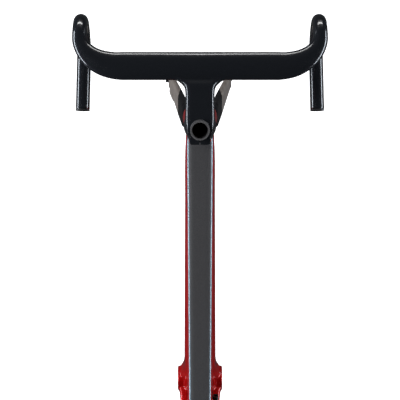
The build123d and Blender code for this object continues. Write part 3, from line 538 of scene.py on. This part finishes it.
downRear, downFront = (0.060, 0.056, 0.018), (0.0515, 0.054, 0.019)
topFront, topRear = (0.048, 0.040, 0.012), (0.040, 0.031, 0.010)
seatFoot, seatMiddle, seatHead = (0.048, 0.045, 0.014), (0.033, 0.045, 0.014), (0.040, 0.056, 0.015)
headProfile = [
    (0.0300, 0.0), (0.0300, 0.010), (0.0285, 0.024), (0.0265, 0.038), (0.0260, 0.050),
    (0.0260, 0.110), (0.0262, 0.122), (0.0268, 0.133), (0.0270, 0.142), (0.0270, 0.150),
]
shellParts = [
    turnedSolid("headBody", crownPoint, axisUp, headProfile),
    loftTube("downBody", [tubeStation(Vector((0, 0, 0)), downAlong, 0.046, downRear)]
             + taperedRun(Vector((0, 0, 0)), downAlong, lug, downLength - 0.070, downRear, downFront)
             + [tubeStation(Vector((0, 0, 0)), downAlong, downLength - 0.004, (0.044, 0.050, 0.018))]),
    loftTube("topBody", [tubeStation(topStart, topAlong, 0.005, (0.046, 0.038, 0.012))]
             + taperedRun(topStart, topAlong, 0.036, topLength - 0.040, topFront, topRear)
             + [tubeStation(topStart, topAlong, topLength - 0.006, (0.037, 0.029, 0.009))]),
    loftTube("seatBody", [tubeStation(Vector((0, 0, 0)), seatUp, d, s, lift=l) for d, s, l in (
        (0.046, seatFoot, 0), (lug, seatFoot, 0), (0.090, mixSection(seatFoot, seatMiddle, 0.7), 0),
        (0.130, seatMiddle, 0), (0.180, seatMiddle, 0), (0.330, seatMiddle, 0), (0.380, seatMiddle, 0),
        (0.4425, mixSection(seatMiddle, seatHead, 0.6), 0.0033), (0.505, seatHead, 0.0055),
    )]),
    turnedSolid("shellBody", Vector((-0.04325, 0, 0)), sideways, [(0.024, 0.0), (0.024, 0.0865)]),
    loftTube("downLug", [tubeStation(Vector((0, 0, 0)), downAlong, d, s) for d, s in (
        (0.003, (0.083, 0.038, 0.014)), (0.018, (0.082, 0.043, 0.016)),
        (0.032, (0.066, 0.053, 0.018)), (lug, downRear),
    )]),
    loftTube("seatLug", [tubeStation(Vector((0, 0, 0)), seatUp, d, s) for d, s in (
        (0.003, (0.070, 0.036, 0.012)), (0.026, (0.060, 0.042, 0.014)), (lug, seatFoot),
    )]),
    block("coverPad", Vector((0, 0, -0.0215)), (sideways, Vector((0, 1, 0)), Vector((0, 0, 1))), (0.034, 0.030, 0.010)),
]
for side in (-1, 1):
    shellParts.append(loftTube("chainstay", [
        tubeStation(stayStart, stayAlong, d, s, side=side * x) for d, x, s in (
            (-0.008, 0.029, (0.024, 0.038, 0.006)), (0.012, 0.0295, (0.021, 0.039, 0.006)),
            (0.032, 0.0295, (0.017, 0.038, 0.006)), (0.27 * stayLength, 0.0335, (0.015, 0.034, 0.006)),
            (0.52 * stayLength, 0.046, (0.013, 0.028, 0.005)), (0.78 * stayLength, 0.0615, (0.011, 0.024, 0.005)),
            (stayLength, rearMiddle, (0.009, 0.022, 0.004)),
        )
    ]))
    shellParts.append(loftTube("seatstay", [
        tubeStation(seatstayStart, seatstayAlong, d, s, side=side * x) for d, x, s in (
            (0.0, 0.010, (0.012, 0.024, 0.005)), (0.070, 0.025, (0.012, 0.020, 0.005)),
            (0.55 * seatstayLength, 0.051, (0.010, 0.017, 0.0045)),
            (seatstayLength, rearMiddle, (0.009, 0.018, 0.004)),
        )
    ]))
shell = melt("frameShell", shellParts, shellLook["voxel"], shellLook["softening"])

seatNormal = -seatUp.cross(sideways)
if seatNormal.y < 0:
    seatNormal = -seatNormal
origin = Vector((0, 0, 0))
headCut = headPoint(-0.036, 0)
between = (seatUp - downAlong).normalized()
triangleMiddle = Vector(((topStart + downEnd) / 2))
triangleLine = (seatUp * 0.24 - triangleMiddle).normalized()
triangleUp = triangleLine.cross(sideways)
if triangleUp.z < 0:
    triangleUp = -triangleUp
stayLine = (Vector((0, -0.060, 0.150)) - rearAxle).normalized()
stayUp = stayLine.cross(sideways)
if stayUp.z < 0:
    stayUp = -stayUp
slabRear = seatNormal * -0.027
slabFront = seatNormal * 0.031
yokeCut = stayStart + stayAlong * 0.032
frameSlot = "frame_paint"

headPiece = keepSide(shell, "headTubeShell", (headCut, axisAhead))
topPiece = keepSide(
    shell, "topTubeShell", (headCut, -axisAhead), (slabFront, seatNormal), (triangleMiddle, triangleUp)
)
downPiece = keepSide(
    shell, "downTubeShell", (headCut, -axisAhead), (downAlong * lug, downAlong), (origin, -between),
    (triangleMiddle, -triangleUp)
)
seatPiece = keepSide(
    shell, "seatTubeShell", (seatUp * lug, seatUp), (origin, between), (slabRear, seatNormal), (slabFront, -seatNormal)
)
bracketPiece = keepSide(
    shell, "bracketShell", (downAlong * lug, -downAlong), (seatUp * lug, -seatUp), (yokeCut, -stayAlong)
)
stayPieces = {}
for side, sideName in ((-1, "left"), (1, "right")):
    half = (origin, sideways * side)
    stayPieces["chainstay_" + sideName] = keepSide(
        shell, "chainstayShell_" + sideName, (yokeCut, stayAlong), (rearAxle, -stayUp), half
    )
    stayPieces["seatstay_" + sideName] = keepSide(
        shell, "seatstayShell_" + sideName, (slabRear, -seatNormal), (rearAxle, stayUp), half
    )
dropObject(shell)


def bossHoles(name, along, distance, halfDepth):
    outward = along.cross(sideways).normalized()
    return [
        turnedSolid(name, along * (distance + shift) + outward * (halfDepth - 0.012), outward, [
            (0.0037, 0.0), (0.0037, 0.012), (0.0051, 0.0121), (0.0051, 0.020),
        ], 48)
        for shift in (-0.032, 0.032)
    ]


headPiece = carve(headPiece, [turnedSolid("headBore", crownPoint, axisUp, [
    (0.0261, -0.004), (0.0261, 0.0075), (0.0229, 0.0075), (0.0199, 0.1425), (0.0236, 0.1425), (0.0236, 0.154),
])])
seatPiece = carve(seatPiece, [
    slotCutter("postHole", origin, seatUp, 0.070, 0.0372, 0.0252, 0.450),
    block(
        "wedgePocket", seatUp * 0.489 + seatUp.cross(sideways).normalized() * 0.0205,
        (sideways, seatUp.cross(sideways).normalized(), seatUp), (0.0138, 0.0122, 0.034),
    ),
    *bossHoles("seatBoss", seatUp, 0.245, 0.0225),
])
portHeight = downAlong * (downLength - 0.095)
downPiece = carve(downPiece, [
    *bossHoles("downBoss", downAlong, 0.255, 0.028),
    *[
        block(
            "portHole", portHeight + sideways * side * 0.0265, (sideways, downAlong.cross(sideways), downAlong),
            (0.0110, 0.0078, 0.0136),
        )
        for side in (-1, 1)
    ],
])
bracketPiece = carve(bracketPiece, [
    turnedSolid("bracketBore", Vector((-0.06, 0, 0)), sideways, [(0.0205, 0.0), (0.0205, 0.12)]),
])
brakeShare = 0.87
brakeSide = 0.0615 + (rearMiddle - 0.0615) * (brakeShare - 0.78) / 0.22
brakeRun = (Vector((-(rearMiddle - 0.0615), 0, 0)) + stayAlong * (0.22 * stayLength)).normalized()
brakeUp = stayAlong.cross(sideways).normalized()
brakeMiddle = stayStart + stayAlong * (brakeShare * stayLength) - sideways * brakeSide
stayPieces["chainstay_left"] = carve(stayPieces["chainstay_left"], [
    turnedSolid(
        "brakeHole", brakeMiddle + brakeRun * shift - brakeUp * 0.03, brakeUp, [(0.0026, 0), (0.0026, 0.06)], 32
    )
    for shift in (-0.017, 0.017)
])
finishPiece(headPiece, "frame", frameSlot, looks[frameSlot], "head_tube")
finishPiece(topPiece, "frame", frameSlot, looks[frameSlot], "top_tube")
finishPiece(downPiece, "frame", frameSlot, looks[frameSlot], "down_tube")
finishPiece(seatPiece, "frame", frameSlot, looks[frameSlot], "seat_tube")
finishPiece(bracketPiece, "frame", frameSlot, looks[frameSlot], "bottom_bracket_shell")
for stayNode, piece in stayPieces.items():
    finishPiece(piece, "frame", frameSlot, looks[frameSlot], stayNode)
print("frame shell made")

# fork
forkLook = {"voxel": 0.0013, "softening": 8}
axleAlong = -((0.370**2 - 0.045**2) ** 0.5)
legEnd = axleAlong + 0.032
legLine = [
    (-0.030, 0.0256, (0.0135, 0.044, 0.006)), (-0.110, 0.0332, (0.014, 0.040, 0.006)),
    (-0.220, 0.0438, (0.013, 0.033, 0.006)), (legEnd, 0.0555, (0.011, 0.025, 0.005)),
]


def legAhead(along):
    return 0.001 + 0.044 * (along + 0.030) / (axleAlong + 0.030)


legRun = (headPoint(legAhead(-0.300), -0.300) - headPoint(legAhead(-0.100), -0.100)).normalized()
padUp = Vector((0, legRun.z, -legRun.y))
padMiddle = headPoint(legAhead(-0.268), -0.268, -0.0495) + padUp * 0.018
forkParts = [
    loftTube("crownBody", [
        headStation(-0.001, (0.058, 0.058, 0.0285)),
        headStation(-0.013, (0.063, 0.054, 0.022), ahead=0.0005),
        headStation(-0.030, (0.0647, 0.046, 0.010), ahead=0.001),
    ], step=0.003),
    block("padBody", padMiddle - padUp * 0.005 + sideways * 0.0005, (
        (sideways + legRun * 0.10).normalized(), (legRun - sideways * 0.10).normalized(), padUp
    ), (0.0125, 0.078, 0.010)),
]
for side in (-1, 1):
    forkParts.append(loftTube("legBody", [
        headStation(a, s, ahead=legAhead(a), side=side * x) for a, x, s in legLine
    ]))
fork = melt("forkShell", forkParts, forkLook["voxel"], forkLook["softening"])
crownPiece = keepSide(fork, "forkCrownShell", (headPoint(0, -0.030), axisUp))
crownPiece = carve(crownPiece, [
    turnedSolid("steererHole", crownPoint, axisUp, [(0.0200, -0.014), (0.0200, 0.004)]),
    turnedSolid("tyreArch", headPoint(-0.06, -0.038), axisAhead, [(0.0205, 0.0), (0.0205, 0.12)]),
])
finishPiece(crownPiece, "fork", "fork_paint", looks["fork_paint"], "fork_crown")
for side, sideName in ((-1, "left"), (1, "right")):
    leg = keepSide(fork, "forkLegShell_" + sideName, (headPoint(0, -0.030), -axisUp), (origin, sideways * side))
    holes = [turnedSolid("tyreArch", headPoint(-0.06, -0.038), axisAhead, [(0.0205, 0.0), (0.0205, 0.12)])]
    if side < 0:
        holes += [
            turnedSolid("padHole", padMiddle + legRun * shift - padUp * 0.014, padUp, [(0.0026, 0), (0.0026, 0.02)], 32)
            for shift in (-0.035, 0.035)
        ]
    leg = carve(leg, holes)
    finishPiece(leg, "fork", "fork_paint", looks["fork_paint"], "fork_leg_" + sideName)
dropObject(fork)
print("fork made")

# one-piece bar and stem
barLook = {
    "voxel": 0.0012, "softening": 9, "chord": 0.0470,
    "straightHalf": 0.128, "hoodHalf": 0.197, "hoodAhead": 0.053, "hoodFall": 0.0056, "hoodSlope": 6.0,
}
clampBottom, clampTop = 0.173, 0.213
clampMiddle = headPoint(0, (clampBottom + clampTop) / 2)
barCentre = clampMiddle + Vector((0, 0.099, 0.0185))
flare = 0.02


def barRings(side):
    # one half of the bar from the middle to its end, as ready rings
    look = barLook
    rings = []

    def ring(centre, across, upward, width, depth):
        rings.append([centre + across * u + upward * v for u, v in roundedRing(width, depth, None, 12)])

    forward, upright = Vector((0, 1, 0)), Vector((0, 0, 1))
    for x in range(0, 128, 8):
        share = min(x / 60, 1.0)
        ring(
            barCentre + sideways * side * x / 1000, forward, upright, look["chord"],
            0.023 - 0.002 * share - 0.001 * max(0, (x - 60) / 68),
        )
    corner = look["hoodHalf"] - look["straightHalf"]
    turnShape = [
        (0, look["chord"], 0.020), (22.5, 0.043, 0.020), (45, 0.0355, 0.021), (67.5, 0.028, 0.0225), (90, 0.024, 0.024),
    ]
    for i in range(0, 19):
        turn = 5.0 * i
        k = min(int(turn / 22.5), 3)
        share = (turn - turnShape[k][0]) / 22.5
        width = turnShape[k][1] + (turnShape[k + 1][1] - turnShape[k][1]) * share
        depth = turnShape[k][2] + (turnShape[k + 1][2] - turnShape[k][2]) * share
        angle = radians(turn)
        tangent = Vector((side * corner * cos(angle), look["hoodAhead"] * sin(angle), 0)).normalized()
        normal = Vector((-tangent.y * side, tangent.x * side, 0))
        place = barCentre + Vector((
            side * (look["straightHalf"] + corner * sin(angle)),
            look["hoodAhead"] * (1 - cos(angle)),
            -look["hoodFall"] * (turn / 90) ** 2,
        ))
        ring(place, normal, upright, width, depth)
    hood = barCentre + Vector((side * look["hoodHalf"], look["hoodAhead"], -look["hoodFall"]))
    ahead = Vector((-side * flare, 1, 0)).normalized()
    outward = Vector((side, side * flare * side, 0)).normalized()
    outward = (outward - ahead * outward.dot(ahead)).normalized()
    point, heading = [0.0, 0.0], -look["hoodSlope"]
    for radius, turn in ((0.036, 84.0), (0.105, 38.0), (0.040, 47.0)):
        middle = (point[0] + radius * sin(radians(heading)), point[1] - radius * cos(radians(heading)))
        steps = max(6, round(turn / 5))
        for i in range(1, steps + 1):
            h = radians(heading - turn * i / steps)
            spot = (middle[0] - radius * sin(h), middle[1] + radius * cos(h))
            tangent = ahead * cos(h) + upright * sin(h)
            ring(hood + ahead * spot[0] + upright * spot[1], outward, tangent.cross(outward), 0.024, 0.024)
        heading -= turn
        h = radians(heading)
        point = [middle[0] - radius * sin(h), middle[1] + radius * cos(h)]
    run = ahead * cos(radians(heading)) + upright * sin(radians(heading))
    end = hood + ahead * point[0] + upright * point[1]
    for i in range(1, 9):
        ring(end + run * 0.010 * i, outward, run.cross(outward), 0.024, 0.024)
    return rings, end + run * 0.080, run


def alignRings(rings):
    # each ring starts at the point nearest to the last ring's start, going the same way
    made = [rings[0]]
    for ring in rings[1:]:
        before = made[-1]
        best = None
        for points in (ring, list(reversed(ring))):
            for s in range(len(points)):
                gap = (points[s] - before[0]).length + (points[(s + 8) % len(points)] - before[8]).length
                if best is None or gap < best[0]:
                    best = (gap, points, s)
        made.append(best[1][best[2]:] + best[1][:best[2]])
    return made


barParts, barEnds = [], {}
for side in (-1, 1):
    rings, end, run = barRings(side)
    barEnds[side] = (end, run)
    barParts.append(skin("barHalf", alignRings(rings)))
forward, upright = Vector((0, 1, 0)), Vector((0, 0, 1))
barParts.append(loftTube("stemBody", [
    (clampMiddle + Vector((0, -0.018, -0.0030)), sideways, upright, 0.036, 0.034, 0.010),
    (clampMiddle + Vector((0, -0.010, -0.0010)), sideways, upright, 0.044, 0.0385, 0.010),
    (clampMiddle + Vector((0, 0.004, 0.0030)), sideways, upright, 0.0475, 0.042, 0.009),
    (clampMiddle + Vector((0, 0.028, 0.0075)), sideways, upright, 0.0475, 0.039, 0.009),
    (barCentre + Vector((0, -0.046, -0.0080)), sideways, upright, 0.0475, 0.033, 0.009),
    (barCentre + Vector((0, -0.033, -0.004)), sideways, upright, 0.052, 0.026, 0.009),
    (barCentre + Vector((0, -0.025, -0.002)), sideways, upright, 0.070, 0.017, 0.007),
    (barCentre + Vector((0, -0.016, 0)), sideways, upright, 0.106, 0.009, 0.0042),
], step=0.002))
barParts.append(turnedSolid("clampBody", crownPoint, axisUp, [(0.02115, clampBottom), (0.02115, clampTop)]))
barParts.append(loftTube("clampRear", [
    headStation(a, (0.034, 0.0256, 0.004), ahead=-0.0128) for a in (clampBottom, (clampBottom + clampTop) / 2, clampTop)
]))
bar = melt("barAndStem", barParts, barLook["voxel"], barLook["softening"])
boltLine = -(0.01595 + 0.0025 + 0.0021)
cutters = [
    turnedSolid("underClamp", crownPoint, axisUp, [(0.033, clampBottom - 0.060), (0.033, clampBottom)]),
    turnedSolid("clampBore", crownPoint, axisUp, [(0.01595, clampBottom - 0.005), (0.01595, clampTop + 0.020)]),
    block("clampSlot", headPoint(-0.024, 0.195), (sideways, axisAhead, axisUp), (0.002, 0.020, 0.060)),
]
for side, height in ((1, clampBottom + 0.010), (-1, clampTop - 0.010)):
    middle = headPoint(boltLine, height)
    cutters.append(turnedSolid("boltHole", middle - sideways * 0.016, sideways, [(0.0026, 0), (0.0026, 0.032)], 32))
    for way in (-1, 1):
        cutters.append(turnedSolid(
            "boltPocket", middle + sideways * way * 0.0125, sideways * way, [(0.00435, 0), (0.00435, 0.020)], 48
        ))
for end, run in barEnds.values():
    cutters.append(turnedSolid("endHole", end - run * 0.0165, run, [(0.0096, 0), (0.0096, 0.020)], 64))
bar = carve(bar, cutters)
finishPiece(bar, "cockpit", "bar_carbon", looks["bar_carbon"], "handlebar")
print("bar and stem made")

# hose grommets sit nearly flush in the tube's side
grommetLook = {"face": 0.02575, "proud": 0.30}
source = frame["nodes"]["down_tube_port_grommets"].data
work = bmesh.new()
work.from_mesh(source)
bmesh.ops.remove_doubles(work, verts=work.verts, dist=1e-6)
for vert in work.verts:
    over = abs(vert.co.x) - grommetLook["face"]
    if over > 0:
        vert.co.x = (grommetLook["face"] + over * grommetLook["proud"]) * (1 if vert.co.x > 0 else -1)
grommets = meshObject("hoseGrommets", [], [])
work.to_mesh(grommets.data)
work.free()
finishPiece(grommets, "frame", "rubber", looks["rubber"], "down_tube_port_grommets")

# the other CAD parts keep their own shape
shown = {n: o for n, o in frame["nodes"].items() if not o.hide_render}
print(len(shown), "CAD parts shown")

# floor, light and camera
stageLook = {
    "floorHeight": -0.34, "floorColour": colour(0.80, 0.80, 0.80), "floorGlow": 0.80,
    "floorShade": colour(0.035, 0.035, 0.035),
    "overhead": 0.05, "horizon": 0.42,
}
floor = meshObject(
    "floor", [(x, y, stageLook["floorHeight"]) for x, y in ((-9, -9), (9, -9), (9, 9), (-9, 9))], [(0, 1, 2, 3)]
)
floorPaint = Finish("floorPaper", {
    "Roughness": 0.9, "Specular IOR Level": 0.1, "Base Color": stageLook["floorColour"],
    "Emission Color": colour(1.0, 1.0, 1.0),
})
# the paper glows to the eye alone, so the gloss on the parts stays deep
seen = floorPaint.node("ShaderNodeLightPath", {}, {}, output="Is Camera Ray")
floorPaint.set("Emission Strength", seen * stageLook["floorGlow"])
floorPaint.set("Base Color", floorPaint.mixed(seen, stageLook["floorShade"], stageLook["floorColour"]))
floorPaint.bump(floorPaint.noise(35.0, 3.0), 0.03, 0.002)
floor.data.materials.append(floorPaint.material)

world = bpy.data.worlds.new("studio")
world.use_nodes = True
room = world.node_tree  # dark overhead, lighter towards the horizon
roomPlace = room.nodes.new("ShaderNodeTexCoord")
roomParts = room.nodes.new("ShaderNodeSeparateXYZ")
roomShade = room.nodes.new("ShaderNodeMapRange")
roomShade.interpolation_type = "SMOOTHSTEP"
roomShade.inputs["From Min"].default_value = 0.02
roomShade.inputs["From Max"].default_value = 0.55
roomShade.inputs["To Min"].default_value = stageLook["horizon"]
roomShade.inputs["To Max"].default_value = stageLook["overhead"]
room.links.new(roomPlace.outputs["Generated"], roomParts.inputs[0])
room.links.new(roomParts.outputs["Z"], roomShade.inputs["Value"])
room.links.new(roomShade.outputs["Result"], room.nodes["Background"].inputs["Strength"])
bpy.context.scene.world = world


def softLight(name, place, target, size, power, mirrored=True, tint=(1.0, 1.0, 1.0)):
    # a light that isn't mirrored brightens the paint without a glare in the gloss
    light = bpy.data.lights.new(name, "AREA")
    light.shape = "RECTANGLE"
    light.size, light.size_y = size
    light.energy = power
    light.color = tint
    obj = bpy.data.objects.new(name, light)
    obj.location = place
    obj.rotation_euler = (Vector(target) - Vector(place)).to_track_quat("-Z", "Y").to_euler()
    obj.visible_glossy = mirrored
    bpy.context.scene.collection.objects.link(obj)


softLight("leftBank", (-2.0, 0.2, 2.5), (0, 0.1, 0.3), (1.4, 2.6), 75, mirrored=False)
softLight("rightBank", (2.2, 0.3, 2.2), (0, 0.1, 0.3), (1.0, 2.4), 20, mirrored=False)
softLight("leftStrip", (-2.4, 0.3, 0.70), (0, 0.3, 0.5), (2.6, 0.30), 42, tint=(0.84, 0.91, 1.0))
softLight("rightStrip", (2.4, 0.3, 0.70), (0, 0.3, 0.5), (2.6, 0.30), 36, tint=(0.84, 0.91, 1.0))
softLight("frontStrip", (0.0, 3.0, 1.35), (0, 0.4, 0.5), (2.6, 0.35), 26)

cameraLook = {"place": (0.0, -0.155, 3.199), "tilt": 8.985, "lens": 147.08}
cameraData = bpy.data.cameras.new("camera")
cameraData.lens = cameraLook["lens"]
cameraData.sensor_width = 36.0
cameraData.clip_end = 100.0
camera = bpy.data.objects.new("camera", cameraData)
camera.location = cameraLook["place"]
camera.rotation_euler = (radians(cameraLook["tilt"]), 0, 0)
bpy.context.scene.collection.objects.link(camera)
bpy.context.scene.camera = camera
bpy.context.scene.view_settings.view_transform = "Standard"
